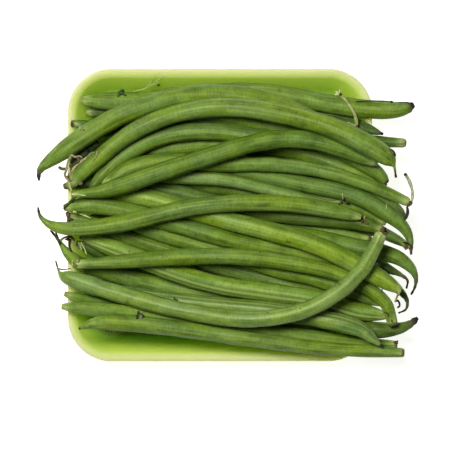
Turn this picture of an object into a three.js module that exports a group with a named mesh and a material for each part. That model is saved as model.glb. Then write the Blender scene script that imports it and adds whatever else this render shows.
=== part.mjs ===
// A pack of whole green beans: a heap of loose beans lying lengthwise in a shallow foam tray.
// Millimetres. +Z is up, +X runs along the beans and +Y across them.
// The origin is the centre of the tray's flat base, where the pack stands.

import * as THREE from "three";

// ---------------------------------------------------------------- driving dimensions

// The tray: a rounded square, a good 5 inches each way, pressed from one sheet of foam.
const TRAY_X = 136.4; // outer size over the rim, along the beans
const TRAY_Y = 131; // outer size over the rim, across the beans
const TRAY_HEIGHT = 16.5;
const TRAY_CORNER = 19.5; // radius of the outline's corners, in plan
const FOAM = 3; // thickness of the floor
const RIM_WIDTH = 3.4; // width of the flat top of the rim
const WALL_RUN = 7.4; // how far the inner wall leans in, from the rim down to the floor
const WALL_OFFSET = 3.1; // wall thickness, measured level
const RIM_ROUND = 0.8; // how much the rim's edges are rounded
const CORNER_STEPS = 6; // facets round each corner

// The beans.
const SIDES = 8; // facets round a bean
const RING_STEP = 11; // most distance between two rings of a bean's surface
const GAP = 0.5; // space left between a bean and what it lies on

// The row of beans on the tray's floor, under the heap.
const FLOOR_BEANS = 8;
const FLOOR_PITCH = 12;
const FLOOR_LENGTH = 106;
const FLOOR_WIDTH = 7;

// How the heap closes up: every bean is a row of beads that sink, bend and push each other aside.
const BEAD_STEP = 3; // distance between two beads of a bean
const BENDS = 6; // how many smooth shapes a bean's bending is a mix of
const STIFFNESS = 1; // how strongly a bend springs back, per millimetre, as a share of sinking
const SINKS = [0.2, 0.05, 0.01, 0.003]; // how far the beans sink in a round, stage by stage
const ROUNDS = 500; // rounds in a stage
const HOLD = 2.5; // how strongly a bean keeps to its route, per millimetre, as a share of sinking
const REACH = 3; // beads this much further apart than they may be are watched
const WATCH_ROUNDS = 20; // rounds between two looks at which beads are near each other

// ---------------------------------------------------------------- the ends of a bean

// Each end is a list of [distance from the tip, share of the bean's full radius].
const ENDS = {
  // The stem end, snapped off: a small flat disc on a rounded shoulder.
  cut: [[0, 0.4], [1, 0.5], [3, 0.66], [7, 0.86], [14, 1]],
  // The stem end, snapped through the pod itself: a wide disc with hardly a shoulder.
  snapped: [[0, 0.68], [0.6, 0.8], [4, 0.86], [10, 0.94], [18, 1]],
  // The stem end of a bean that fills out slowly from a slim neck.
  slim: [[0, 0.44], [3, 0.54], [12, 0.66], [25, 0.84], [40, 0.96], [52, 1]],
  // The stem end with the neck left long and narrow.
  neck: [[0, 0.34], [3, 0.4], [8, 0.56], [15, 0.8], [24, 1]],
  // The flower end, a short point.
  point: [[0, 0.12], [2, 0.3], [6, 0.6], [12, 0.86], [20, 1]],
  // The flower end, rounded off with no beak.
  blunt: [[0, 0.2], [1, 0.42], [3, 0.64], [7, 0.84], [13, 0.97], [18, 1]],
  // The flower end, tapering evenly to a stubby tip.
  taper: [[0, 0.2], [1, 0.34], [4, 0.46], [9, 0.7], [15, 0.9], [22, 1]],
  // The flower end, tapering evenly to a fine hooked tip.
  hook: [[0, 0.12], [3, 0.24], [6, 0.42], [10, 0.62], [15, 0.8], [24, 1]],
  // The flower end of a bean that fills out slowly from a fine hooked tip.
  drawn: [[0, 0.1], [4, 0.2], [7.6, 0.34], [12, 0.54], [17, 0.7], [24, 0.82], [40, 0.95], [52, 1]],
  // The flower end, drawn out into a long thin dried tail.
  tail: [[0, 0.12], [4, 0.16], [8, 0.28], [13, 0.56], [20, 0.84], [28, 1]],
  // The flower end, blunt with a thin beak.
  beak: [[0, 0.1], [5, 0.13], [6.2, 0.3], [7.8, 0.58], [10.5, 0.8], [15, 0.94], [21, 1]],
};

// ---------------------------------------------------------------- the lay of the beans

// One line for each bean: name, width (or width at the left and at the right end), left end,
// right end, and where it runs, seen from above, from left to right as [x, y].
// A bean rests on those before it, so the list goes from the bottom of the heap to its top.
const LAY = [
  ["bean_under_rim_back", 7, "cut", "point",
    [[-60, 46], [-30, 45], [0, 46], [30, 45], [50, 43], [64, 39.8], [73, 36.3]]],
  ["bean_pale_back", [6.2, 5.2], "cut", "snapped",
    [[-66.3, 41.5], [-50, 38.5], [-20, 37], [20, 36.6], [55, 34.4], [82.7, 33.3]]],
  ["bean_buried_left", 6.6, "cut", "point",
    [[-69.5, 13.2], [-50, 17.5], [-10, 24.5], [30, 22.5], [56, 17]]],
  ["bean_under_right_a", 6, "cut", "beak",
    [[-42, 10], [0, 17], [40, 16], [60, 11.5], [72, 6.8], [80, 1.3], [82.9, -1.6], [84.4, 0.4],
      [83.9, 3.5]]],
  ["bean_under_right_b", [6, 5], "point", "cut",
    [[-52, 5], [-10, 3], [40, -3], [70, -9.5], [84.5, -15.5]]],
  ["bean_under_right_c", 6.8, "cut", "tail",
    [[-46, -4], [0, -6], [40, -11], [60, -16], [76, -24], [82.6, -28], [84.3, -30.8],
      [83.3, -33.4]]],
  ["bean_under_right_d", 6, "cut", "tail",
    [[-48, -13], [0, -15], [40, -19.5], [60, -24.2], [74, -29], [82, -35], [84, -39.5],
      [82.2, -42.6], [79.7, -43.5]]],
  ["bean_buried_front", 6.4, "cut", "cut",
    [[-58, -46.5], [-40, -47], [0, -44.5], [40, -43], [62, -40.5]]],
  ["bean_hooked_left", 7.4, "tail", "cut",
    [[-75.8, -7.2], [-72.4, -11.4], [-69.3, -16.2], [-63.8, -21.8], [-50, -26.4], [-30, -31], [-5, -35.6],
      [30, -39.5], [46, -41]]],
  ["bean_shaded_left", 6, "cut", "cut",
    [[-64, -12.5], [-48, -19], [-20, -27], [15, -33], [52, -36.5]]],
  ["bean_slim_front", 5.6, "cut", "cut",
    [[-69.3, -34.8], [-52, -38.6], [-20, -44.3], [15, -48], [54, -49]]],
  ["bean_low_right", 7.2, "cut", "taper",
    [[-30, -42], [10, -44.5], [50, -48.2], [66, -52], [78, -52.2], [84.6, -50.3],
      [88.4, -47.2]]],
  ["bean_front_second", [6.2, 7.6], "cut", "slim",
    [[-70.5, -41], [-50, -42.6], [-20, -46], [10, -49.3], [40, -52.7], [62, -55], [79, -56]]],
  ["bean_front", [7.6, 5], "point", "snapped",
    [[-63, -50.7], [-57, -48.2], [-48, -47.6], [-20, -50.2], [10, -54.6], [40, -58.6],
      [60, -60.2], [82, -61.5]]],
  ["bean_back", 8, "cut", "blunt",
    [[-62, 50.5], [-40, 50], [-15, 52.6], [5, 54.1], [25, 53], [45, 49], [62, 46.4], [76, 45.7],
      [83, 46.8], [86.8, 48.6]]],
  ["bean_brown_cut_right", 6.8, "point", "snapped",
    [[-58, 1], [-20, 0.5], [20, -4.5], [50, -7.6], [67, -10]]],
  ["bean_long_hook_right", 7.4, "cut", "tail",
    [[-44, -1], [0, -5], [40, -9.5], [66, -15], [79, -18.5], [86, -24.5], [87.5, -30],
      [85.2, -35.5]]],
  ["bean_rising_right", 7.4, "cut", "cut",
    [[-69.5, 3.2], [-60, 4.7], [-45, 3.3], [-20, -3.3], [10, -11.8], [40, -18.3], [57, -23.5]]],
  ["bean_lined_low", 6.8, "snapped", "cut",
    [[-68, -0.8], [-60, -2.4], [-40, -10.2], [-15, -19], [15, -28.3], [45, -34.3],
      [62, -39]]],
  ["bean_middle_low", 6.8, "point", "cut",
    [[-48, -0.4], [-25, -8.2], [5, -18], [25, -25], [45, -30.2], [60, -35.9], [72, -41]]],
  ["bean_lined_yellow", 8.2, "point", "cut",
    [[-63, -9.3], [-48, -14.3], [-20, -25.8], [0, -31.8], [20, -35.1], [45, -39], [60, -43.5],
      [74, -45.8]]],
  ["bean_centre_b", 7.2, "point", "cut",
    [[-44, 13], [-25, 11.3], [0, 5], [20, 0.1], [40, -2], [60, -3.6], [73, -6.8]]],
  ["bean_lined_centre", 7, "point", "cut",
    [[-32, 16], [-10, 13.3], [20, 9.3], [45, 7.8], [60, 4.7], [74, -4.5]]],
  ["bean_speckled", [6.6, 4.6], "point", "neck",
    [[-40, 20.6], [-20, 18.8], [5, 16], [25, 11.3], [40, 8.6], [48, 8.4], [54.5, 10.2]]],
  ["bean_hook_right", 7, "cut", "hook",
    [[-34, 22], [-5, 20.5], [15, 17.8], [40, 13.4], [60, 8.8], [74, 1.5], [82.6, -6],
      [85, -12], [85.2, -17.5]]],
  ["bean_back_low", 7.4, "point", "cut",
    [[-46, 26.8], [-15, 30.5], [5, 31.9], [25, 30.5], [50, 22.9], [74, 11.5]]],
  ["bean_back_upper", 7.4, "cut", "blunt",
    [[-42, 38], [-10, 43], [10, 41], [35, 35.1], [55, 27.2], [70, 17.5], [74.8, 12.5]]],
  ["bean_bright", 8.2, "point", "cut",
    [[-54, 9.5], [-38, 8.3], [-15, 2], [5, -3.5], [25, -8.3], [45, -14.3], [62, -22.6],
      [72, -28.4], [80.4, -33.4]]],
  ["bean_front_third", [7, 8.2], "cut", "point",
    [[-62, -33], [-35, -35.5], [-5, -38.5], [25, -41.5], [50, -46.5], [62, -50.2],
      [72, -58.3]]],
  ["bean_grey_tip", 7.8, "point", "cut",
    [[-58.7, 10.6], [-50, 20.5], [-38, 30], [-22, 36.6], [-4, 38.2], [14, 36.4], [34, 34]]],
  ["bean_stalked", [7.5, 5.2], "cut", "snapped",
    [[-52, 13.6], [-38, 21.3], [-25, 23.5], [0, 22], [25, 21.4], [45, 18.5], [65, 12.6],
      [84, 5.2]]],
  ["bean_arch", 8.8, "hook", "cut",
    [[-80.9, 15.4], [-80.6, 19.8], [-73, 26.5], [-58, 37], [-42, 45.6], [-22, 52.1], [-3, 54],
      [16, 52], [34, 46], [48, 39.8]]],
  ["bean_second_arch", 7.9, "neck", "cut",
    [[-66, 8.8], [-50, 11.2], [-30, 18], [-10, 24.5], [15, 32.4], [32, 34.6], [50, 32],
      [70, 24]]],
  ["bean_top_arch", [6.8, 9.6], "snapped", "beak",
    [[-66.5, 13.5], [-54, 25], [-38, 37.2], [-20, 44.7], [0, 47.6], [22, 45.5], [45, 39.8],
      [62, 32.4], [74.5, 24.6], [78, 19.6], [78.2, 16]]],
  ["bean_cross_low", [8, 5.8], "slim", "snapped",
    [[-63.6, -22.2], [-45, -20.9], [-20, -18.7], [5, -18], [30, -20.7], [50, -24.8],
      [64, -31.2], [74, -39.3], [77.2, -49]]],
  ["bean_cross_high", [8, 6.8], "drawn", "cut",
    [[-81.2, 3.5], [-80, -0.8], [-74, -5], [-60, -6.2], [-38, -2.6], [-15, 2.7], [5, 4.9],
      [25, 5], [45, 2.9], [62.5, -1]]],
  ["bean_top_hook", [8, 6.8], "beak", "snapped",
    [[-73.5, -20.5], [-71.6, -26], [-60, -30.6], [-40, -36.8], [-20, -42], [-5, -44.8],
      [10, -46.4], [25, -45.5], [40, -41.4], [53, -34], [62, -25.5], [68.2, -15.5],
      [71.5, -8.3]]],
];

// ---------------------------------------------------------------- the tray

// How far a point lies inside the rounded outline of the tray, in plan; less than 0 outside it.
function insideTray(x, y) {
  const cornerX = Math.abs(x) - TRAY_X / 2 + TRAY_CORNER;
  const cornerY = Math.abs(y) - TRAY_Y / 2 + TRAY_CORNER;
  const beyond = Math.hypot(Math.max(cornerX, 0), Math.max(cornerY, 0));
  return TRAY_CORNER - beyond - Math.min(Math.max(cornerX, cornerY), 0);
}

// The height of the tray's upper side at some distance inside its outline.
function traySurface(inside) {
  if (inside < 0) return 0;
  const downWall = THREE.MathUtils.clamp((inside - RIM_WIDTH) / WALL_RUN, 0, 1);
  return THREE.MathUtils.lerp(TRAY_HEIGHT, FOAM, downWall);
}

// The lowest that the middle of a round bean can be at this point, for the tray alone.
function heightOverTray(x, y, radius) {
  const inside = insideTray(x, y);
  let height = radius;
  for (let across = -1; across <= 1; across += 0.125) {
    const surface = traySurface(inside + across * radius);
    height = Math.max(height, surface + radius * Math.sqrt(1 - across * across));
  }
  return height;
}

// The rounded outline at some distance inside the rim, as points going round it.
function trayOutline(inset) {
  const radius = Math.max(TRAY_CORNER - inset, 4);
  const middleX = TRAY_X / 2 - inset - radius;
  const middleY = TRAY_Y / 2 - inset - radius;
  const corners = [[1, 1], [-1, 1], [-1, -1], [1, -1]];
  const points = [];
  corners.forEach(([sideX, sideY], corner) => {
    for (let step = 0; step <= CORNER_STEPS; step += 1) {
      const angle = ((corner + step / CORNER_STEPS) * Math.PI) / 2;
      points.push([
        sideX * middleX + radius * Math.cos(angle),
        sideY * middleY + radius * Math.sin(angle),
      ]);
    }
  });
  return points;
}

// The tray as a lathe form: its section is turned round the middle, then each slice of the turned
// form is moved out to the rounded square.
function trayGeometry() {
  const slope = WALL_RUN / (TRAY_HEIGHT - FOAM);
  const innerWall = (z) => RIM_WIDTH + (TRAY_HEIGHT - z) * slope;
  const outerWall = (z) => innerWall(z) - WALL_OFFSET;
  const lipBottom = TRAY_HEIGHT - FOAM;
  const section = [
    [outerWall(0) + 1, 0],
    [outerWall(1), 1],
    [outerWall(lipBottom), lipBottom],
    [RIM_ROUND, lipBottom + 0.2],
    [0, lipBottom + RIM_ROUND],
    [0, TRAY_HEIGHT - RIM_ROUND],
    [RIM_ROUND, TRAY_HEIGHT],
    [RIM_WIDTH - RIM_ROUND / 2, TRAY_HEIGHT],
    [innerWall(TRAY_HEIGHT - RIM_ROUND), TRAY_HEIGHT - RIM_ROUND],
    [innerWall(FOAM + 1) - 0.2, FOAM + 1],
    [innerWall(FOAM) + 1, FOAM],
  ];
  const middle = TRAY_X / 2;
  const profile = [new THREE.Vector2(0, 0)];
  section.forEach(([inset, z]) => profile.push(new THREE.Vector2(middle - inset, z)));
  profile.push(new THREE.Vector2(0, FOAM));
  const slices = 4 * (CORNER_STEPS + 1);
  const geometry = new THREE.LatheGeometry(profile, slices);
  geometry.rotateX(Math.PI / 2);
  const position = geometry.attributes.position;
  const outlines = section.map(([inset]) => trayOutline(inset));
  for (let index = 0; index < position.count; index += 1) {
    const slice = Math.floor(index / profile.length) % slices;
    const row = (index % profile.length) - 1;
    if (row >= 0 && row < section.length) {
      const [x, y] = outlines[row][slice];
      position.setXY(index, x, y);
    }
  }
  geometry.computeVertexNormals();
  return geometry;
}

// ---------------------------------------------------------------- the shape of one bean

// The radius along a bean of this length, as rings of [distance from the left tip, radius].
function beanRings(length, width, leftEnd, rightEnd) {
  const [leftWidth, rightWidth] = Array.isArray(width) ? width : [width, width];
  const fullRadius = (at) => THREE.MathUtils.lerp(leftWidth, rightWidth, at / length) / 2;
  const left = ENDS[leftEnd];
  const right = ENDS[rightEnd];
  const rings = left.map(([at, share]) => [at, share * fullRadius(at)]);
  const bodyStart = left[left.length - 1][0];
  const bodyEnd = length - right[right.length - 1][0];
  const steps = Math.ceil((bodyEnd - bodyStart) / RING_STEP);
  for (let step = 1; step < steps; step += 1) {
    const at = THREE.MathUtils.lerp(bodyStart, bodyEnd, step / steps);
    rings.push([at, fullRadius(at)]);
  }
  for (let index = right.length - 1; index >= 0; index -= 1) {
    const [fromTip, share] = right[index];
    rings.push([length - fromTip, share * fullRadius(length - fromTip)]);
  }
  return rings;
}

// The radius at any distance along those rings.
function radiusAt(rings, at) {
  for (let index = 1; index < rings.length; index += 1) {
    const [end, endRadius] = rings[index];
    const [start, startRadius] = rings[index - 1];
    if (at <= end) return THREE.MathUtils.mapLinear(at, start, end, startRadius, endRadius);
  }
  return rings[rings.length - 1][1];
}

// A bean turned straight in a lathe, then bent along its centreline.
function beanGeometry(rings, centreline, length) {
  const profile = [new THREE.Vector2(0, 0)];
  rings.forEach(([at, radius]) => profile.push(new THREE.Vector2(radius, at)));
  profile.push(new THREE.Vector2(0, length));
  const geometry = new THREE.LatheGeometry(profile, SIDES);
  const position = geometry.attributes.position;
  const vertex = new THREE.Vector3();
  const up = new THREE.Vector3(0, 0, 1);
  for (let index = 0; index < position.count; index += 1) {
    vertex.fromBufferAttribute(position, index);
    const share = THREE.MathUtils.clamp(vertex.y / length, 0, 1);
    const centre = centreline.getPointAt(share);
    const along = centreline.getTangentAt(share);
    const side = new THREE.Vector3().crossVectors(up, along).normalize();
    const top = new THREE.Vector3().crossVectors(along, side);
    centre.addScaledVector(side, vertex.z).addScaledVector(top, vertex.x);
    position.setXYZ(index, centre.x, centre.y, centre.z);
  }
  geometry.computeVertexNormals();
  return geometry;
}

// ---------------------------------------------------------------- laying the heap

// The beads of one bean along its route, still at no height.
function beadsOf([name, width, leftEnd, rightEnd, route]) {
  const plan = new THREE.CatmullRomCurve3(route.map(([x, y]) => new THREE.Vector3(x, y, 0)));
  const length = plan.getLength();
  const steps = Math.round(length / BEAD_STEP);
  const rings = beanRings(length, width, leftEnd, rightEnd);
  return plan.getSpacedPoints(steps).map((at, index) => ({
    at,
    route: at.clone(),
    radius: radiusAt(rings, (index / steps) * length),
  }));
}

// How high a bead must be to clear the beads of a bean that already lies there.
function heightOver(bead, laid) {
  let height = 0;
  laid.forEach((below) => {
    const need = bead.radius + below.radius + GAP;
    const apart = Math.hypot(bead.at.x - below.at.x, bead.at.y - below.at.y);
    if (apart < need) height = Math.max(height, below.at.z + Math.sqrt(need ** 2 - apart ** 2));
  });
  return height;
}

// The pairs of beads of different beans that are close enough to meet soon.
function nearPairs(heap) {
  const pairs = [];
  heap.forEach((bean, order) => {
    heap.slice(0, order).forEach((other) => {
      bean.forEach((bead) => {
        other.forEach((below) => {
          const watch = bead.radius + below.radius + GAP + REACH;
          if (bead.at.distanceToSquared(below.at) < watch * watch) pairs.push([bead, below]);
        });
      });
    });
  });
  return pairs;
}

// The smooth shapes that a row of beads can bend in: polynomials, each at right angles to the rest.
function bendShapes(count) {
  const shapes = [];
  for (let power = 0; power < BENDS; power += 1) {
    let shape = Array.from({ length: count }, (_, index) => ((2 * index) / (count - 1) - 1) ** power);
    shapes.forEach((lower) => {
      const share = lower.reduce((sum, value, index) => sum + value * shape[index], 0);
      shape = shape.map((value, index) => value - share * lower[index]);
    });
    const size = Math.hypot(...shape);
    shapes.push(shape.map((value) => value / size));
  }
  return shapes;
}

// Gives a bean back a smooth run: its way off its route becomes a mix of the smooth shapes.
function straighten(bean, shapes, sink) {
  const parts = shapes.map((shape, power) => {
    const part = new THREE.Vector3();
    shape.forEach((value, index) => {
      part.addScaledVector(bean[index].at, value).addScaledVector(bean[index].route, -value);
    });
    const bends = power > 1 ? ((power - 0.5) / 1.5) ** 4 : 0;
    return part.multiplyScalar(1 - Math.min(STIFFNESS * sink * bends, 1)).setX(0);
  });
  bean.forEach((bead, index) => {
    bead.at.copy(bead.route);
    parts.forEach((part, power) => bead.at.addScaledVector(part, shapes[power][index]));
  });
}

// Lets the whole heap sink and close up.
function closeUp(heap) {
  const shapes = heap.map((bean) => bendShapes(bean.length));
  const between = new THREE.Vector3();
  SINKS.forEach((sink) => {
    let pairs = [];
    for (let round = 0; round < ROUNDS; round += 1) {
      if (round % WATCH_ROUNDS === 0) pairs = nearPairs(heap);
      heap.forEach((bean) => {
        bean.forEach((bead) => {
          bead.at.y += (bead.route.y - bead.at.y) * HOLD * sink;
          bead.at.z -= sink;
        });
      });
      pairs.forEach(([bead, other]) => {
        between.subVectors(bead.at, other.at);
        const apart = between.length();
        const short = bead.radius + other.radius + GAP - apart;
        if (short > 0) {
          bead.at.addScaledVector(between, short / apart / 2);
          other.at.addScaledVector(between, -short / apart / 2);
        }
      });
      heap.forEach((bean, index) => {
        bean.forEach((bead) => {
          const lowest = heightOverTray(bead.at.x, bead.at.y, bead.radius) + GAP;
          bead.at.z = Math.max(bead.at.z, lowest);
        });
        straighten(bean, shapes[index], sink);
      });
    }
  });
}

// Stacks the beans one on another in their order, then lets the heap close up.
function layHeap(lines) {
  const heap = [];
  lines.forEach((line) => {
    const bean = beadsOf(line);
    const heights = bean.map((bead) => {
      const overTray = heightOverTray(bead.at.x, bead.at.y, bead.radius);
      return Math.max(overTray, ...heap.map((laid) => heightOver(bead, laid)));
    });
    const height = Math.max(...heights);
    bean.forEach((bead) => bead.at.setZ(height));
    heap.push(bean);
  });
  closeUp(heap);
  return heap;
}

// The mesh of one bean along its beads.
function beanMesh([name, width, leftEnd, rightEnd], beads, colour) {
  const centreline = new THREE.CatmullRomCurve3(beads.map((bead) => bead.at));
  const length = centreline.getLength();
  const rings = beanRings(length, width, leftEnd, rightEnd);
  const mesh = new THREE.Mesh(
    beanGeometry(rings, centreline, length),
    new THREE.MeshStandardMaterial({ color: colour, roughness: 0.42, metalness: 0 }),
  );
  mesh.name = name;
  return mesh;
}

// The row on the floor: nearly straight beans side by side, each a little longer at one end.
function floorRow() {
  const row = [];
  for (let index = 0; index < FLOOR_BEANS; index += 1) {
    const y = (index - (FLOOR_BEANS - 1) / 2) * FLOOR_PITCH;
    const shift = index % 2 === 0 ? 1.5 : -1.5;
    const half = FLOOR_LENGTH / 2;
    const route = [[shift - half, y - 0.8], [shift, y + 0.8], [shift + half, y - 0.8]];
    const name = `bean_floor_${String(index + 1).padStart(2, "0")}`;
    row.push([name, FLOOR_WIDTH, "cut", "point", route]);
  }
  return row;
}

// ---------------------------------------------------------------- the whole pack

const pack = new THREE.Group();

const tray = new THREE.Mesh(
  trayGeometry(),
  new THREE.MeshStandardMaterial({ color: 0xa4d63c, roughness: 0.6, metalness: 0 }),
);
tray.name = "tray";
pack.add(tray);

const BEAN_GREENS = [0x5c8a3a, 0x4f7d33, 0x6a9744, 0x47732f, 0x5f8f3f];
const lines = [...floorRow(), ...LAY];
layHeap(lines).forEach((beads, index) => {
  pack.add(beanMesh(lines[index], beads, BEAN_GREENS[index % BEAN_GREENS.length]));
});

export default pack;
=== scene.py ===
# %% [markdown]
# # A tray pack of green beans
#
# The object is a heap of loose whole green beans lying lengthwise in a shallow square tray of
# pressed foam. The plain solids of every bean and of the tray are already in place. This lesson
# gives each of them its real surface: the round, faintly knobbly pod with its seam, its snapped
# stem end and its dried tail, and the soft rounded foam of the tray.
#
# Everything is in metres, with +Z up and +X along the beans.

import bmesh
import bpy
import math
import random
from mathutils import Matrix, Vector, noise


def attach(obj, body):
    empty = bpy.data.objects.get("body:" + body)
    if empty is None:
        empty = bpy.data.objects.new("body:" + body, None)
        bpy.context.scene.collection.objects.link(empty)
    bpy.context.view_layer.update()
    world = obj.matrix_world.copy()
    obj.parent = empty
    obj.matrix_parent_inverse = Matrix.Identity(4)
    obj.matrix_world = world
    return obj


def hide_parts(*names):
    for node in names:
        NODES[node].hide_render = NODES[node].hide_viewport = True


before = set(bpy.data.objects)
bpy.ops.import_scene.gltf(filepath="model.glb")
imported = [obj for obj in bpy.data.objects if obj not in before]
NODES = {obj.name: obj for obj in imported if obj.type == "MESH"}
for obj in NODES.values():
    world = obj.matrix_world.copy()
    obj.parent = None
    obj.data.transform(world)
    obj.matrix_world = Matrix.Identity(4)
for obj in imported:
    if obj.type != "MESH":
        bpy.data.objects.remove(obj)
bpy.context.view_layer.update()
UP = Vector((0, 0, 1))
print(len(NODES), "plain solids loaded")


def mm(length):
    """Turns millimetres into the scene's metres."""
    return length / 1000


# %% [markdown]
# ## Camera
#
# A pack on a shelf is looked at from straight above. A long lens far away keeps the beans at
# the top of the heap from looking bigger than those at the bottom.

# %% Camera
VIEW_WIDTH = mm(202.7)  # how much of the pack's plane the picture takes in
VIEW_CENTRE = (mm(2.9), mm(-5.15))
PLANE_HEIGHT = mm(20)  # the height in the heap that this width is measured at
CAMERA_HEIGHT = 3.0
SENSOR = 36.0  # millimetres, as lenses are given

camera_data = bpy.data.cameras.new("camera")
camera_data.sensor_width = SENSOR
camera_data.lens = SENSOR * (CAMERA_HEIGHT - PLANE_HEIGHT) / VIEW_WIDTH
camera = bpy.data.objects.new("camera", camera_data)
camera.location = (*VIEW_CENTRE, CAMERA_HEIGHT)
bpy.context.scene.collection.objects.link(camera)
bpy.context.scene.camera = camera
bpy.context.scene.view_settings.view_transform = "Standard"
print("lens", round(camera_data.lens), "mm")

# %% [markdown]
# ## Small helpers
#
# One turns a colour code as a painter would write it into the linear numbers that shaders work
# in, one starts a material, and one adds a shader node together with its settings and links.


# %% Helpers for colours and shader nodes
def colour(code):
    """The linear RGBA of an sRGB hex code such as "7a9635"."""
    parts = [int(code[i:i + 2], 16) / 255 for i in (0, 2, 4)]
    linear = [p / 12.92 if p <= 0.04045 else ((p + 0.055) / 1.055) ** 2.4 for p in parts]
    return (*linear, 1.0)


def new_material(name):
    """An empty material and its node tree."""
    material = bpy.data.materials.new(name)
    material.use_nodes = True
    material.node_tree.nodes.clear()
    return material, material.node_tree


def add_node(tree, kind, inputs=None, **settings):
    """Adds a shader node. An input is a value, or a link written as (node, output name)."""
    node = tree.nodes.new(kind)
    for name, value in settings.items():
        setattr(node, name, value)
    for name, value in (inputs or {}).items():
        if isinstance(value, tuple) and isinstance(value[0], bpy.types.Node):
            tree.links.new(value[0].outputs[value[1]], node.inputs[name])
        else:
            node.inputs[name].default_value = value
    return node


def blend(tree, factor, below, above):
    """Lays one colour over another; each is a colour or a link, and so is the factor."""
    return add_node(
        tree, "ShaderNodeMix", {0: factor, 6: below, 7: above}, data_type="RGBA"), 2


def ramp(tree, value, start, end, low=0.0, high=1.0):
    """Stretches a value from start..end to low..high, and stops it there."""
    return add_node(tree, "ShaderNodeMapRange", {
        "Value": value, "From Min": start, "From Max": end, "To Min": low, "To Max": high,
    }), "Result"


def combine(tree, operation, first, second, third=0.0):
    """A sum, a product or the like of two or three values."""
    return add_node(
        tree, "ShaderNodeMath", {0: first, 1: second, 2: third}, operation=operation), 0


def finish_material(tree, shader):
    """Joins a shader to the material's output."""
    add_node(tree, "ShaderNodeOutputMaterial", {"Surface": (shader, "BSDF")})


print("helpers ready")

# %% [markdown]
# ## Floor and light
#
# The pack lies on an opal light table, the usual ground for produce: it is white, it glows a
# little, and so it swallows nearly all of the shadow. The light is one wide soft box a little
# up and left of straight above, so that every round pod gets one broad satin highlight and the
# gaps between the pods fall off into the dark. A very weak box on the other side and a dim room
# keep those gaps from going quite black.

# %% Floor and light
FLOOR_SIZE = 8.0
FLOOR_DROP = mm(0.2)  # just under the tray's base, so that the two faces never flicker
OPAL_GREY = colour("c0c0be")
OPAL_GLOW = colour("fefefb")
ROOM_WHITE = colour("ffffff")
KEY_PLACE = (-0.36, 0.34, 1.28)
KEY_SIZE = 0.45
KEY_POWER = 23
FILL_PLACE = (0.3, -0.25, 1.4)
FILL_SIZE = 0.8
FILL_POWER = 0.9
ROOM_GLOW = 0.02
TABLE_GLOW = 0.88

floor_mesh = bpy.data.meshes.new("floor")
sheet = bmesh.new()
bmesh.ops.create_grid(sheet, x_segments=1, y_segments=1, size=FLOOR_SIZE / 2)
bmesh.ops.translate(sheet, verts=sheet.verts, vec=(0, 0, -FLOOR_DROP))
sheet.to_mesh(floor_mesh)
sheet.free()
floor = bpy.data.objects.new("floor", floor_mesh)
bpy.context.scene.collection.objects.link(floor)

opal, tree = new_material("opal_light_table")
finish_material(tree, add_node(tree, "ShaderNodeBsdfPrincipled", {
    "Base Color": OPAL_GREY,
    "Roughness": 0.9,
    "Specular IOR Level": 0.1,
    "Emission Color": OPAL_GLOW,
    "Emission Strength": TABLE_GLOW,
}))
floor_mesh.materials.append(opal)

world = bpy.data.worlds.new("pale_room")
world.use_nodes = True
world.node_tree.nodes["Background"].inputs["Color"].default_value = ROOM_WHITE
world.node_tree.nodes["Background"].inputs["Strength"].default_value = ROOM_GLOW
bpy.context.scene.world = world


def soft_box(name, place, size, power):
    """A square area light that faces the middle of the pack."""
    light = bpy.data.lights.new(name, "AREA")
    light.size = size
    light.energy = power
    lamp = bpy.data.objects.new(name, light)
    lamp.location = place
    lamp.rotation_mode = "QUATERNION"
    lamp.rotation_quaternion = (-Vector(place)).to_track_quat("-Z", "Y")
    bpy.context.scene.collection.objects.link(lamp)


soft_box("key_light", KEY_PLACE, KEY_SIZE, KEY_POWER)
soft_box("fill_light", FILL_PLACE, FILL_SIZE, FILL_POWER)
print("floor, room and two soft boxes are in place")

# %% [markdown]
# ## Where each bean runs
#
# Each plain bean is an eight-sided tube with a point at each end, so it can be read back like a
# spine: from the left tip, the next ring of corners is always the set of neighbours not met yet.
# The middle of a ring gives the spine and its size gives the pod's radius there. A smooth cubic
# through those rings then gives the fine surface as many steps as it needs.

# %% Read a bean's spine
PLAIN_SIDES = 8
SAME_PLACE = mm(0.01)  # corners nearer to each other than this are one corner
SHORTEST_STEP = mm(0.001)


def read_rings(node):
    """The middle and radius of each ring of a plain bean, from its left tip to its right tip."""
    shell = bmesh.new()
    shell.from_mesh(NODES[node].data)
    bmesh.ops.remove_doubles(shell, verts=shell.verts, dist=SAME_PLACE)
    tips = [v for v in shell.verts if len(v.link_edges) == PLAIN_SIDES]
    ring = [min(tips, key=lambda v: v.co.x)]
    met = set()
    rings = []
    while ring:
        middle = sum((v.co for v in ring), Vector()) / len(ring)
        radius = sum((v.co - middle).length for v in ring) / len(ring)
        rings.append((middle, radius))
        met.update(ring)
        around = dict.fromkeys(e.other_vert(v) for v in ring for e in v.link_edges)
        ring = [v for v in around if v not in met]
    shell.free()
    rings[0] = (rings[0][0], rings[1][1])
    rings[-1] = (rings[-1][0], rings[-2][1])
    return rings


def distances(points):
    """How far along a row of points each one lies."""
    along = [0.0]
    for here, there in zip(points, points[1:]):
        along.append(along[-1] + (there - here).length)
    return along


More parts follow.
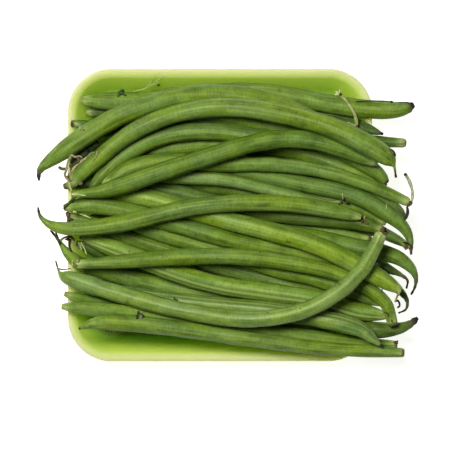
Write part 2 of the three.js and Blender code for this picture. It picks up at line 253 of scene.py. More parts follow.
def smooth_value(along, values, at):
    """A smooth cubic through values given at the distances in along, read at one distance."""
    last = len(along) - 1
    i = next((k for k in range(last) if at <= along[k + 1]), last - 1)
    before, after = max(i - 1, 0), min(i + 2, last)
    step = along[i + 1] - along[i]
    if step < SHORTEST_STEP:
        return values[i]
    slope_in = (values[i + 1] - values[before]) / (along[i + 1] - along[before])
    slope_out = (values[after] - values[i]) / (along[after] - along[i])
    t = (at - along[i]) / step
    return (
        values[i] * (2 * t ** 3 - 3 * t ** 2 + 1)
        + slope_in * step * (t ** 3 - 2 * t ** 2 + t)
        + values[i + 1] * (3 * t ** 2 - 2 * t ** 3)
        + slope_out * step * (t ** 3 - t ** 2)
    )


sample = read_rings("bean_arch")
print("bean_arch has", len(sample), "rings; its right tip is at", sample[-1][0])

# %% [markdown]
# ## The tube that everything grown is made of
#
# Pods, stalks and dried threads are all tubes whose section changes along a bent line. A circle
# spun by no angle but with a step upward makes a straight tube in one operator. Each ring is
# then moved to its place on the line. This is much easier to control than a curve with a bevel,
# because every ring can have its own section: the pod's seeds, seam and dry wrinkles.


# %% Sweep a tube
def stations_along(points):
    """Each point of a line with the line's direction there."""
    last = len(points) - 1
    return [
        (point, (points[min(i + 1, last)] - points[max(i - 1, 0)]).normalized())
        for i, point in enumerate(points)
    ]


def sweep(mesh, stations, sides, section):
    """Adds a closed tube whose rings stand at the stations, each a point and a direction.

    section(index, angle) gives the radius of the skin; angle 0 is the top. Gives back a list of
    the vertices, each with its station's index, its angle and its radius.
    """
    circle = bmesh.ops.create_circle(mesh, segments=sides, radius=1)["verts"]
    edges = list(dict.fromkeys(e for v in circle for e in v.link_edges))
    before = set(mesh.verts) - set(circle)
    bmesh.ops.spin(
        mesh, geom=circle + edges, cent=(0, 0, 0), axis=(0, 0, 1), dvec=(0, 0, 1), angle=0,
        steps=len(stations) - 1, use_merge=False, use_duplicate=False)
    rows = [[] for _ in stations]
    for vert in mesh.verts:
        if vert not in before:
            rows[round(vert.co.z)].append(vert)
    for row in (rows[0], rows[-1]):
        rim = dict.fromkeys(e for v in row for e in v.link_edges if e.other_vert(v) in row)
        bmesh.ops.contextual_create(mesh, geom=list(rim))
    placed = []
    for index, (point, along) in enumerate(stations):
        side = UP.cross(along).normalized()
        top = along.cross(side)
        for vert in rows[index]:
            angle = math.atan2(vert.co.y, vert.co.x)
            reach = section(index, angle)
            placed.append((vert, index, angle, reach))
            vert.co = point + (top * math.cos(angle) + side * math.sin(angle)) * reach
    return placed


print("tube sweeper ready")

# %% [markdown]
# ## The pod
#
# A green bean is a long seed case. Its section is nearly round, a little taller along the seam.
# The seeds inside push the two sides out every 12 mm or so, the seam is a fine ridge between
# two shallow grooves, and the whole pod is never quite even. The stem end is snapped: its skin
# turns over a worn edge onto a slightly sunken disc of pith. The flower end runs out into a
# point, or into a thin tail that has dried and shrunk in waves.
#
# The mesh also carries notes for the skin's material. `pod_place` is each point's place on the
# pod as if it were straight, so that streaks run along the bend. `pod_ends` says how dry a
# point is, how near the snapped end, and whether it lies on the disc. `pod_tint` holds the
# bean's own tone, the seam, and how bruised the snapped end is.

# %% How the ends look
# name: (how far the drying reaches from the tip in mm, how bruised the snapped end is)
END_LOOKS = {
    "thread": (14, 0),  # a long dried tail
    "beak": (7, 0),  # a blunt end with a thin dried beak
    "hook": (8, 0),  # a curved tip that has dried for a part
    "tip": (4.5, 0),  # a short dried point
    "soft": (1.5, 0),  # a point that is still green
    "pale": (0, 0),  # snapped, with fresh pale pith
    "green": (0, 0.45),  # snapped, with pith gone dull
    "brown": (0, 1),  # snapped, with pith and edge gone brown
}
SNAPPED = ("pale", "green", "brown")
STEM_REACH = mm(5)  # the skin is paler and stringier this far from a snapped end

# The rings that turn a snapped end over its edge: (distance past the tip, share of radius).
DISC_RINGS = [
    (mm(0.22), 0.97), (mm(0.36), 0.88), (mm(0.34), 0.78), (mm(0.02), 0.68), (mm(-0.1), 0.3)]
DISC_START = 2  # from this ring on it is pith, not skin

# %% Shape of a pod
POD_SIDES = 28
RING_STEP = mm(1.5)
END_STEP = mm(0.6)  # finer rings near both ends
END_ZONE = mm(14)
SEED_PITCH = mm(12.5)
SEED_SWELL = mm(0.2)
SEED_ZONE = mm(22)  # the ends hold no seeds
UNEVEN = mm(0.16)
OVAL = 0.03
SEAM_ANGLE = math.radians(11)  # half the width of the seam, on the section
SEAM_RIDGE = mm(0.09)
GROOVE_DEPTH = 0.8  # as a share of the ridge's height
GROOVE_PLACE = 1.3  # in half widths of the seam from its middle
GROOVE_SHARPNESS = 3
SEAM_SPREAD = 3  # the seam's colour reaches this many half widths out
PLUMP = mm(0.1)  # the fine skin stands this much proud of the plain solid's corners
DRY_WRINKLE = 0.16  # how much a dried tail narrows and widens, as a share of its radius
DRY_WRINKLE_PITCH = mm(2.6)
THINNEST = mm(0.25)
WAVE_COUNT = 4
WAVE_SHORTEST, WAVE_LONGEST = mm(13), mm(40)


def ring_places(length):
    """Distances of the rings along a pod, closer together near both ends."""
    places = [0.0]
    while places[-1] < length:
        near_end = min(places[-1], length - places[-1]) < END_ZONE
        places.append(places[-1] + (END_STEP if near_end else RING_STEP))
    return [place * length / places[-1] for place in places]


def fade(distance, reach):
    """1 at the tip, falling smoothly to 0 at the given reach."""
    if reach <= 0:
        return 0.0
    share = min(max(1 - distance / reach, 0), 1)
    return share * share * (3 - 2 * share)


def turned_over(tip, outward, look):
    """The stations past a snapped tip, with the share of the tip's radius at each."""
    if look not in SNAPPED:
        return []
    return [((tip + outward * past, outward), share) for past, share in DISC_RINGS]


def grow_pod(mesh, node, left, right, roll, seam_strength, tone, chance):
    """Adds the fine pod of one bean to the mesh, with its notes for the material."""
    rings = read_rings(node)
    spine = [middle for middle, _ in rings]
    radii = [radius for _, radius in rings]
    along = distances(spine)
    length = along[-1]
    places = ring_places(length)
    body = stations_along([smooth_value(along, spine, at) for at in places])
    first = [((p, -out), share) for (p, out), share in turned_over(body[0][0], -body[0][1], left)]
    first.reverse()
    final = turned_over(body[-1][0], body[-1][1], right)
    stations = [s for s, _ in first] + body + [s for s, _ in final]
    shares = [share for _, share in first] + [1.0] * len(body) + [share for _, share in final]
    at_station = [0.0] * len(first) + places + [length] * len(final)

    waves = [
        (chance.uniform(WAVE_SHORTEST, WAVE_LONGEST), chance.uniform(0, math.tau))
        for _ in range(WAVE_COUNT)
    ]
    pitch = SEED_PITCH * chance.uniform(0.9, 1.15)
    first_seed = chance.uniform(0, pitch)
    left_dry, right_dry = mm(END_LOOKS[left][0]), mm(END_LOOKS[right][0])

    def dryness(at):
        return max(fade(at, left_dry), fade(length - at, right_dry))

    def from_seam(angle):
        return abs((angle - roll + math.pi) % math.tau - math.pi)

    def section(index, angle):
        at = at_station[index]
        base = max(smooth_value(along, radii, at), THINNEST)
        middle_part = 1 - max(fade(at, SEED_ZONE), fade(length - at, SEED_ZONE))
        seeds = 0.5 + 0.5 * math.cos(math.tau * (at - first_seed) / pitch)
        swell = SEED_SWELL * seeds * math.sin(angle - roll) ** 2
        ripple = sum(math.sin(math.tau * at / wave + phase) for wave, phase in waves)
        uneven = UNEVEN * ripple / WAVE_COUNT
        offset = from_seam(angle) / SEAM_ANGLE
        groove = GROOVE_DEPTH * math.exp(-GROOVE_SHARPNESS * (offset - GROOVE_PLACE) ** 2)
        ridge = SEAM_RIDGE * (max(1 - offset, 0) - groove)
        shrunk = DRY_WRINKLE * dryness(at) * math.sin(math.tau * at / DRY_WRINKLE_PITCH + 2 * angle)
        skin = base * (1 + OVAL * math.cos(2 * (angle - roll)) + shrunk)
        return shares[index] * (skin + middle_part * (PLUMP + swell + uneven + ridge))

    place_layer = mesh.verts.layers.float_vector["pod_place"]
    ends_layer = mesh.verts.layers.float_vector["pod_ends"]
    tint_layer = mesh.verts.layers.float_vector["pod_tint"]
    for vert, index, angle, reach in sweep(mesh, stations, POD_SIDES, section):
        at = at_station[index]
        vert[place_layer] = (at, reach * math.sin(angle), reach * math.cos(angle))
        stem = max(
            fade(at, STEM_REACH) if left in SNAPPED else 0,
            fade(length - at, STEM_REACH) if right in SNAPPED else 0)
        on_left_disc = index <= len(first) - 1 - DISC_START
        on_right_disc = index >= len(stations) - len(final) + DISC_START
        vert[ends_layer] = (dryness(at), stem, float(on_left_disc or on_right_disc))
        seam = seam_strength * max(1 - from_seam(angle) / (SEAM_SPREAD * SEAM_ANGLE), 0)
        bruise = END_LOOKS[left if at < length / 2 else right][1]
        vert[tint_layer] = (tone, seam, bruise)


print("a pod has", POD_SIDES, "sides and a ring every", RING_STEP * 1000, "mm")

# %% [markdown]
# ## The pod's skin
#
# Fresh bean skin is a thin waxy cuticle over leaf-green flesh. Up close it is not one green:
# there are darker and lighter blotches a few millimetres long, wider patches that lean to a
# bluer or a fuller green, fine veins along the pod, and very fine wrinkles across it. The wax
# gives a broad satin highlight, not a mirror. The seam is a paler line between darker edges, the
# flower end dries to grey brown, and near the snapped end the skin is paler and stringy. All of
# it is drawn with noise on the straightened pod, so that it bends with the bean.

# %% Pod skin material
BLOTCH_LONG, BLOTCH_WIDE = mm(9), mm(4.5)
VEIN_LONG, VEIN_WIDE = mm(40), mm(1)
WRINKLE_LONG, WRINKLE_WIDE = mm(0.62), mm(2.8)
PORE_SIZE = mm(0.42)
SPOT_SIZE = mm(3.1)
PATCH_LONG, PATCH_WIDE = mm(24), mm(9)
NEUTRAL_HUE = 0.5
TONE_LIGHT = 0.16  # how much a bean's own tone lightens or darkens it
TONE_HUE = 0.008  # and how far it turns the green towards yellow or blue
PATCH_BLUER, PATCH_YELLOWER = 0.012, -0.001  # the same turn, for the wide patches
PATCH_GREYER, PATCH_FULLER = 0.94, 1.06
GRAIN_LIGHT = 0.18  # how much the finest grain lightens or darkens the green
GLOSS_SPREAD = 0.12  # the dullest blotch is this much rougher than the glossiest
DEAD_DULLNESS = 0.35  # pith and dried skin are this much rougher again
RELIEF_DEPTH = mm(0.12)
DIMPLE_SHARE = 4.0  # the shallow dimples are this much deeper than the fine relief
WAX_TINT = colour("e8f2bc")
SEAM_PALE = colour("9bb05c")
SEAM_DARK = colour("34491a")
STEM_PALE = colour("a9b86a")
PITH_FRESH = colour("c3c787")
PITH_OLD = colour("544d2e")
DRIED = colour("4c4d33")
DRIED_TIP = colour("221d16")
SPOT_BROWN = colour("4a4522")


def noise_on_pod(tree, place, long, wide, detail, start):
    """Noise stretched along the pod; long and wide are the size of one blotch, in metres."""
    mapped = add_node(tree, "ShaderNodeMapping", {
        "Vector": (place, "Vector"),
        "Location": (start, start, start),
        "Scale": (1 / long, 1 / wide, 1 / wide),
    })
    return add_node(tree, "ShaderNodeTexNoise", {
        "Vector": (mapped, "Vector"),
        "Scale": 1.0,
        "Detail": detail,
        "Roughness": 0.5,
    }), "Fac"


def pod_skin(name, shade, body, light, gloss, wax):
    """Fresh green bean skin; shade, body and light are its darkest, usual and palest green,
    gloss is its roughness where it shines most, and wax how much clear bloom lies on it."""
    material, tree = new_material(name)
    place = add_node(tree, "ShaderNodeAttribute", attribute_name="pod_place")
    ends = add_node(tree, "ShaderNodeAttribute", attribute_name="pod_ends")
    tint = add_node(tree, "ShaderNodeAttribute", attribute_name="pod_tint")
    ends = add_node(tree, "ShaderNodeSeparateXYZ", {"Vector": (ends, "Vector")})
    tint = add_node(tree, "ShaderNodeSeparateXYZ", {"Vector": (tint, "Vector")})
    tone, seam, bruise = (tint, "X"), (tint, "Y"), (tint, "Z")
    dry, stem, disc = (ends, "X"), (ends, "Y"), (ends, "Z")
    own_place = add_node(tree, "ShaderNodeVectorMath", {
        0: (place, "Vector"), 1: (tint, "X")}, operation="ADD")
    blotch = noise_on_pod(tree, own_place, BLOTCH_LONG, BLOTCH_WIDE, 3.0, 0.0)
    vein = noise_on_pod(tree, own_place, VEIN_LONG, VEIN_WIDE, 2.0, 7.0)
    wrinkle = noise_on_pod(tree, own_place, WRINKLE_LONG, WRINKLE_WIDE, 1.0, 19.0)
    pore = noise_on_pod(tree, own_place, PORE_SIZE, PORE_SIZE, 1.0, 31.0)
    spot = noise_on_pod(tree, own_place, SPOT_SIZE, SPOT_SIZE, 1.0, 43.0)
    patch = noise_on_pod(tree, own_place, PATCH_LONG, PATCH_WIDE, 1.0, 59.0)

    # The greens: blotches first, then veins, then the cross wrinkles and the wide patches.
    green = blend(tree, ramp(tree, blotch, 0.3, 0.62), colour(shade), colour(body))
    green = blend(tree, ramp(tree, vein, 0.27, 0.43, 0.2, 0), green, colour(shade))
    green = blend(tree, ramp(tree, vein, 0.45, 0.74, 0, 0.54), green, colour(light))
    grain = combine(tree, "MULTIPLY_ADD", pore, 0.5, combine(tree, "MULTIPLY", wrinkle, 0.5))
    grain_light = ramp(tree, grain, 0.36, 0.64, 1 - GRAIN_LIGHT, 1 + GRAIN_LIGHT)
    tone_light = ramp(tree, tone, -1.0, 1.0, 1 - TONE_LIGHT, 1 + TONE_LIGHT)
    tone_hue = ramp(tree, tone, -1.0, 1.0, NEUTRAL_HUE + TONE_HUE, NEUTRAL_HUE - TONE_HUE)
    patch_hue = ramp(tree, patch, 0.34, 0.66, PATCH_BLUER, PATCH_YELLOWER)
    green = add_node(tree, "ShaderNodeHueSaturation", {
        "Hue": combine(tree, "ADD", tone_hue, patch_hue),
        "Saturation": ramp(tree, patch, 0.34, 0.66, PATCH_GREYER, PATCH_FULLER),
        "Value": combine(tree, "MULTIPLY", grain_light, tone_light),
        "Color": green,
    }), "Color"
    green = blend(tree, ramp(tree, spot, 0.71, 0.76, 0, 0.55), green, SPOT_BROWN)

    # The seam: dark edges and a pale line between them.
    green = blend(tree, ramp(tree, seam, 0.2, 0.55, 0, 0.5), green, SEAM_DARK)
    green = blend(tree, ramp(tree, seam, 0.66, 0.82, 0, 0.6), green, SEAM_PALE)

    # The snapped end: paler strings in the skin, and the disc of pith.
    strings = combine(tree, "MULTIPLY", stem, ramp(tree, vein, 0.35, 0.6, 0.25, 0.8))
    skin = blend(tree, strings, green, STEM_PALE)
    pith = blend(tree, bruise, PITH_FRESH, PITH_OLD)
    edge_bruise = combine(tree, "MULTIPLY", ramp(tree, stem, 0.8, 1.0), bruise)
    skin = blend(tree, edge_bruise, skin, PITH_OLD)
    skin = blend(tree, disc, skin, pith)

    # The flower end dries from the tip.
    skin = blend(tree, ramp(tree, dry, 0.12, 0.6), skin, DRIED)
    skin = blend(tree, ramp(tree, dry, 0.55, 0.95), skin, DRIED_TIP)

    fine = combine(tree, "MULTIPLY_ADD", vein, 0.4, combine(tree, "ADD", wrinkle, pore))
    height = combine(tree, "MULTIPLY_ADD", spot, DIMPLE_SHARE, fine)
    relief = add_node(tree, "ShaderNodeBump", {
        "Height": height, "Strength": 0.5, "Distance": RELIEF_DEPTH})
    roughness = ramp(tree, blotch, 0.3, 0.7, gloss, gloss + GLOSS_SPREAD)
    dull_parts = combine(tree, "MAXIMUM", dry, disc)
    finish_material(tree, add_node(tree, "ShaderNodeBsdfPrincipled", {
        "Base Color": skin,
        "Roughness": combine(tree, "MULTIPLY_ADD", dull_parts, DEAD_DULLNESS, roughness),
        "Specular IOR Level": 0.3,
        "Specular Tint": WAX_TINT,
        "Coat Weight": wax,
        "Coat Roughness": 0.28,
        "Normal": (relief, "Normal"),
    }))
    return material


SKINS = {
    "leaf": pod_skin("pod_skin_leaf_green", "465e1d", "66802a", "8c9f47", 0.44, 0),
    # deep is partly the beans' own darker green and partly painted shade: it goes to beans that lie
    # low in the heap
    "deep": pod_skin("pod_skin_deep_green", "334618", "4b6322", "6d813a", 0.46, 0),
    "lime": pod_skin("pod_skin_lime_green", "5a7820", "7c9433", "a0b254", 0.42, 0.05),
    # painted shade: a darker copy of the leaf skin, for beans deep in the heap, so the gaps between
    # beans fall dark
    "sunk": pod_skin("pod_skin_painted_shade_green", "1d2a0d", "2b3d12", "415519", 0.5, 0),
    "waxy": pod_skin("pod_skin_waxy_green", "58742e", "788f3d", "9bac5e", 0.4, 0.08),
}
print(len(SKINS), "skins:", ", ".join(SKINS))

# %% [markdown]
# ## Which bean is which
#
# Every bean has its own green, its own ends and its own roll; the beans that lie low in the heap
# get the darker skins, partly as painted shade. The roll is where the seam lies, in degrees from
# the top of the pod: near 0 it runs in plain sight, and past 90 it is underneath. The tone makes
# a bean yellower and lighter, or bluer and darker, than its skin.

# %% The beans' own looks
# node: skin, left end, right end, roll of the seam in degrees, strength of the seam, tone
LOOKS = {
    "bean_under_rim_back": ("deep", "green", "tip", 120, 0.5, -0.6),
    "bean_pale_back": ("deep", "brown", "green", 150, 0.5, -0.1),
    "bean_buried_left": ("deep", "brown", "soft", 100, 0.5, 0.2),
    "bean_under_right_a": ("deep", "green", "beak", 130, 0.5, 0.4),
    "bean_under_right_b": ("deep", "soft", "brown", 90, 0.5, 0.1),
    "bean_under_right_c": ("deep", "green", "thread", 110, 0.5, -0.4),
    "bean_under_right_d": ("deep", "green", "thread", 95, 0.5, 0.1),
    "bean_buried_front": ("sunk", "green", "green", 140, 0.5, -0.7),
    "bean_hooked_left": ("leaf", "hook", "green", 75, 0.5, 0.3),
    "bean_shaded_left": ("deep", "brown", "green", 100, 0.5, -0.8),
    "bean_slim_front": ("leaf", "green", "brown", 60, 0.6, -0.2),
    "bean_low_right": ("deep", "green", "hook", 130, 0.5, 0.3),
    "bean_front_second": ("leaf", "pale", "brown", 115, 0.5, 0.0),
    "bean_front": ("leaf", "soft", "brown", -75, 0.8, 0.3),
    "bean_back": ("leaf", "green", "tip", 110, 0.5, 0.0),
    "bean_brown_cut_right": ("leaf", "soft", "brown", 90, 0.5, -0.3),
    "bean_long_hook_right": ("leaf", "green", "thread", 105, 0.5, -0.8),
    "bean_rising_right": ("leaf", "brown", "green", 140, 0.5, -0.4),
    "bean_lined_low": ("leaf", "brown", "green", 15, 0.8, 0.2),
    "bean_middle_low": ("leaf", "soft", "green", 130, 0.5, 0.0),
    "bean_lined_yellow": ("lime", "soft", "pale", -25, 1.0, -0.3),
    "bean_centre_b": ("deep", "soft", "brown", 150, 0.5, 0.6),
    "bean_lined_centre": ("leaf", "soft", "green", 10, 0.8, 0.0),
    "bean_speckled": ("waxy", "soft", "brown", 60, 0.8, -0.3),
    "bean_hook_right": ("leaf", "green", "hook", 60, 0.5, -0.7),
    "bean_back_low": ("leaf", "soft", "green", 100, 0.5, -0.2),
    "bean_back_upper": ("leaf", "green", "soft", 80, 0.5, -0.5),
    "bean_bright": ("lime", "soft", "green", 40, 0.6, 0.1),
    "bean_front_third": ("waxy", "green", "soft", 35, 0.9, -0.6),
    "bean_grey_tip": ("leaf", "tip", "green", 30, 0.8, -0.1),
    "bean_stalked": ("leaf", "green", "pale", 120, 0.5, 0.2),
    "bean_arch": ("leaf", "hook", "green", 160, 0.5, 0.1),
    "bean_second_arch": ("leaf", "green", "green", 130, 0.5, -0.8),
    "bean_top_arch": ("leaf", "green", "beak", -70, 0.6, 0.3),
    "bean_cross_low": ("leaf", "pale", "brown", 125, 0.5, 0.1),
    "bean_cross_high": ("leaf", "hook", "pale", 140, 0.5, 0.4),
    "bean_top_hook": ("waxy", "beak", "pale", 170, 0.5, -0.2),
}
# The row on the tray's floor wears the darkest skin, as painted shade.
HIDDEN_LOOK = ("sunk", "green", "tip", 90, 0.5)  # the row on the tray's floor
for order, name in enumerate(sorted(NODES)):
    if name.startswith("bean_floor"):
        LOOKS[name] = (*HIDDEN_LOOK, (order % 3 - 1) * 0.4)
print(len(LOOKS), "beans")


# %% Grow the beans
def sort_faces(mesh):
    """Puts the faces in order of their corners, since spins and bevels leave them in any order."""
    mesh.verts.index_update()
    count = len(mesh.verts)

    def number(face):
        first, second, third = sorted(vert.index for vert in face.verts)[:3]
        return (first * count + second) * count + third

    mesh.faces.sort(key=number)


def new_piece(mesh, name, material):
    """Turns a finished bmesh into a smooth object at the origin that belongs to the pack."""
    sort_faces(mesh)
    bmesh.ops.recalc_face_normals(mesh, faces=mesh.faces)
    data = bpy.data.meshes.new(name)
    mesh.to_mesh(data)
    mesh.free()
    data.shade_smooth()
    data.materials.append(material)
    piece = bpy.data.objects.new(name, data)
    bpy.context.scene.collection.objects.link(piece)
    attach(piece, "root")
    return piece


grown_faces = 0
for order, (node, (skin, left, right, roll, seam_strength, tone)) in enumerate(LOOKS.items()):
    mesh = bmesh.new()
    for layer in ("pod_place", "pod_ends", "pod_tint"):
        mesh.verts.layers.float_vector.new(layer)
    grow_pod(
        mesh, node, left, right, math.radians(roll), seam_strength, tone, random.Random(order))
    pod = new_piece(mesh, node + "_pod", SKINS[skin])
    grown_faces += len(pod.data.polygons)
    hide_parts(node)
print(len(LOOKS), "pods with", grown_faces, "faces")

# %% [markdown]
# ## The tray
#
# The tray is pressed from one sheet of foam, so its wall is of one thickness all round: a flat
# floor, a leaning wall and a soft rounded rim. Its outline is a square whose corners are
# rounded by bevelling them. From there the face is extruded up the outside of the wall, over
# the rim and down the inside, a loop at a time, as the press would draw it. Bevelling the loops
# afterwards makes every edge as soft as pressed foam is.

# %% Shape of the tray
TRAY_X, TRAY_Y = mm(136.4), mm(131)
TRAY_HEIGHT = mm(16.5)
TRAY_CORNER = mm(19.5)
FOAM = mm(3)
RIM_WIDTH = mm(3.4)
WALL_RUN = mm(7.4)
WALL_OFFSET = mm(3.1)
CORNER_SEGMENTS = 24
ROUND_SEGMENTS = 6
WELD = mm(0.005)  # points that the bevels leave this close together become one


def inner_wall(z):
    """How far in from the outline the inner wall stands, at a height."""
    return RIM_WIDTH + (TRAY_HEIGHT - z) * WALL_RUN / (TRAY_HEIGHT - FOAM)


def outer_wall(z):
    """How far in from the outline the outer wall stands, at a height."""
    return inner_wall(z) - WALL_OFFSET


LIP = TRAY_HEIGHT - FOAM
# Each loop of the press's way round: (distance in from the outline, height, rounding).
LOOPS = [
    (outer_wall(0), 0, mm(1)),
    (outer_wall(LIP), LIP, mm(0.9)),
    (0, LIP + mm(0.3), mm(1)),
    (0, TRAY_HEIGHT, mm(0.9)),
    (RIM_WIDTH, TRAY_HEIGHT, mm(2.1)),
    (inner_wall(FOAM), FOAM, mm(4)),
]


def lay_out(verts, inset, z):
    """Moves the points of a rounded square in from the outline, and to a height."""
    for vert in verts:
        middle = Vector((
            math.copysign(TRAY_X / 2 - TRAY_CORNER, vert.co.x),
            math.copysign(TRAY_Y / 2 - TRAY_CORNER, vert.co.y), 0))
        spoke = Vector((vert.co.x, vert.co.y, 0)) - middle
        vert.co = middle + spoke.normalized() * (TRAY_CORNER - inset)
        vert.co.z = z


mesh = bmesh.new()
corners = bmesh.ops.create_grid(mesh, x_segments=1, y_segments=1, size=0.5)["verts"]
bmesh.ops.scale(mesh, verts=corners, vec=(TRAY_X, TRAY_Y, 1))
bmesh.ops.bevel(
    mesh, geom=corners, offset=TRAY_CORNER, offset_type="OFFSET", segments=CORNER_SEGMENTS,
    profile=0.5, affect="VERTICES", material=-1)
cap = mesh.faces[:]
loops = []
for inset, z, _ in LOOPS:
    if loops:
        grown = bmesh.ops.extrude_face_region(mesh, geom=cap)["geom"]
        if len(loops) > 1:  # the first face stays, as the tray's underside
            bmesh.ops.delete(mesh, geom=cap, context="FACES_ONLY")
        cap = [item for item in grown if isinstance(item, bmesh.types.BMFace)]
    lay_out(cap[0].verts, inset, z)
    loops.append(list(cap[0].edges))
for edges, (_, _, rounding) in zip(loops, LOOPS):
    bmesh.ops.bevel(
        mesh, geom=edges, offset=rounding, offset_type="OFFSET", segments=ROUND_SEGMENTS,
        profile=0.5, affect="EDGES", clamp_overlap=True, material=-1)
bmesh.ops.remove_doubles(mesh, verts=mesh.verts, dist=WELD)
print("the tray has", len(mesh.faces), "faces;",
      sum(not edge.is_manifold for edge in mesh.edges), "open edges")

# %% [markdown]
# ## Foam
#
# The foam is polystyrene, blown into beads of about a millimetre and coloured all through. Light
# goes nearly a centimetre into it, so its shaded wall still glows. Its colour also holds painted
# light: the rim is painted paler and the top of the wall yellower as painted highlight, and the
# floor and the foot of the wall are painted a deeper green as painted shade under the beans.

# %% Foam material
# The palest green is the pale of the bead edges and also the painted highlight on the rim's top;
# the yellow is painted light at the top of the inner wall.
BEAD_PALE_AND_RIM_HIGHLIGHT = colour("bcbd8a")
RIM_LIT_YELLOW = colour("b2c850")
WALL_UPPER = colour("a8c234")
# The next two greens are painted shade: the foot of the inner wall and the floor under the beans.
WALL_FOOT_SHADE = colour("82ae22")
FLOOR_SHADE_GREEN = colour("28400a")
OUTSIDE_GREEN = colour("a9c45a")
# The heights between which each green passes into the next.
FOOT_BAND = (mm(2.9), mm(4.6))
WALL_BAND = (mm(3), mm(10))
YELLOW_BAND = (mm(10.8), mm(15.2))
PALE_BAND = (mm(14.1), mm(16))
CLOUD_SWAY = mm(2.4)  # all but the lowest of them sway by this much, round the tray
# The rim's painted highlight begins this far inside its inner edge and is full this far from the
# outline.
RIM_HIGHLIGHT_BLUR = mm(1.2)
BEAD_SIZE = mm(1.1)
BEAD_DEPTH = mm(0.12)
CLOUD_SIZE = mm(16)

foam, tree = new_material("pressed_polystyrene_foam")
where = add_node(tree, "ShaderNodeTexCoord")
height = add_node(tree, "ShaderNodeSeparateXYZ", {"Vector": (where, "Object")})
beads = add_node(tree, "ShaderNodeTexVoronoi", {
    "Vector": (where, "Object"), "Scale": 1 / BEAD_SIZE}, feature="DISTANCE_TO_EDGE")
clouds = add_node(tree, "ShaderNodeTexNoise", {
    "Vector": (where, "Object"), "Scale": 1 / CLOUD_SIZE, "Detail": 3.0})
# How far in from the outline a point lies: the outline is a small box, rounded by the corner.
folded = add_node(tree, "ShaderNodeVectorMath", {0: (where, "Object")}, operation="ABSOLUTE")
beyond = add_node(tree, "ShaderNodeVectorMath", {
    0: (folded, "Vector"),
    1: (TRAY_X / 2 - TRAY_CORNER, TRAY_Y / 2 - TRAY_CORNER, TRAY_HEIGHT),
}, operation="SUBTRACT")
beyond = add_node(tree, "ShaderNodeVectorMath", {
    0: (beyond, "Vector"), 1: (0, 0, 0)}, operation="MAXIMUM")
reach = add_node(tree, "ShaderNodeVectorMath", {0: (beyond, "Vector")}, operation="LENGTH")
inset = combine(tree, "SUBTRACT", TRAY_CORNER, (reach, "Value"))

# The inside of the wall is painted darker towards its foot, as painted shade; the outside is of one
# green.
lean = WALL_RUN / (TRAY_HEIGHT - FOAM)
beside_wall = combine(tree, "MULTIPLY_ADD", (height, "Z"), lean, inset)
inner_face = RIM_WIDTH + TRAY_HEIGHT * lean
inside = combine(
    tree, "MULTIPLY",
    ramp(tree, beside_wall, inner_face - WALL_OFFSET * 0.6, inner_face - WALL_OFFSET * 0.4),
    ramp(tree, (height, "Z"), FOAM * 0.4, FOAM * 0.6))
level = combine(tree, "SUBTRACT", (height, "Z"), CLOUD_SWAY / 2)
soft_height = combine(tree, "MULTIPLY_ADD", (clouds, "Fac"), CLOUD_SWAY, level)
foam_green = blend(tree, ramp(tree, (height, "Z"), *FOOT_BAND), FLOOR_SHADE_GREEN, WALL_FOOT_SHADE)
foam_green = blend(tree, ramp(tree, soft_height, *WALL_BAND), foam_green, WALL_UPPER)
foam_green = blend(tree, inside, OUTSIDE_GREEN, foam_green)
# Painted light: yellower towards the rim, and paler across the rim's top.
foam_green = blend(tree, ramp(tree, soft_height, *YELLOW_BAND), foam_green, RIM_LIT_YELLOW)
across_rim = ramp(
    tree, (reach, "Value"), TRAY_CORNER - RIM_WIDTH - RIM_HIGHLIGHT_BLUR, TRAY_CORNER - RIM_HIGHLIGHT_BLUR)
rim_highlight = combine(tree, "MULTIPLY", across_rim, ramp(tree, soft_height, *PALE_BAND))
foam_green = blend(tree, rim_highlight, foam_green, BEAD_PALE_AND_RIM_HIGHLIGHT)
bead_edges = ramp(tree, (beads, "Distance"), 0.02, 0.14, 0.3, 0)
foam_green = blend(tree, bead_edges, foam_green, BEAD_PALE_AND_RIM_HIGHLIGHT)

bead_relief = add_node(tree, "ShaderNodeBump", {
    "Height": ramp(tree, (beads, "Distance"), 0.0, 0.25), "Strength": 0.4,
    "Distance": BEAD_DEPTH})
finish_material(tree, add_node(tree, "ShaderNodeBsdfPrincipled", {
    "Base Color": foam_green,
    "Roughness": 0.55,
    "Specular IOR Level": 0.3,
    "Subsurface Weight": 0.8,
    "Subsurface Radius": (mm(8), mm(9), mm(4)),
    "Subsurface Scale": 1.0,
    "Normal": (bead_relief, "Normal"),
}))

tray = new_piece(mesh, "tray_foam", foam)
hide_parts("tray")
print("tray made")

# %% [markdown]
# ## Stalks and dried bits
#
# A picked bean keeps scraps of its plant: a curved stalk with its knob, the shrunken cap of dry
# leaves that sat on the stem end, and dead petals that have dried to dark threads. In a pack
# they lie wherever the beans rubbed them off. Each scrap here is a thin tube along a short line
# of points, dropped onto whatever lies below it, or a crumb, which is a small ball with its
# surface pushed in and out. Scraps of one kind are gathered into one piece.

# %% Materials of the dried bits
GRAIN_SIZE = mm(0.7)
FLECK_SIZE = mm(2.2)
TISSUE_RELIEF = mm(0.15)


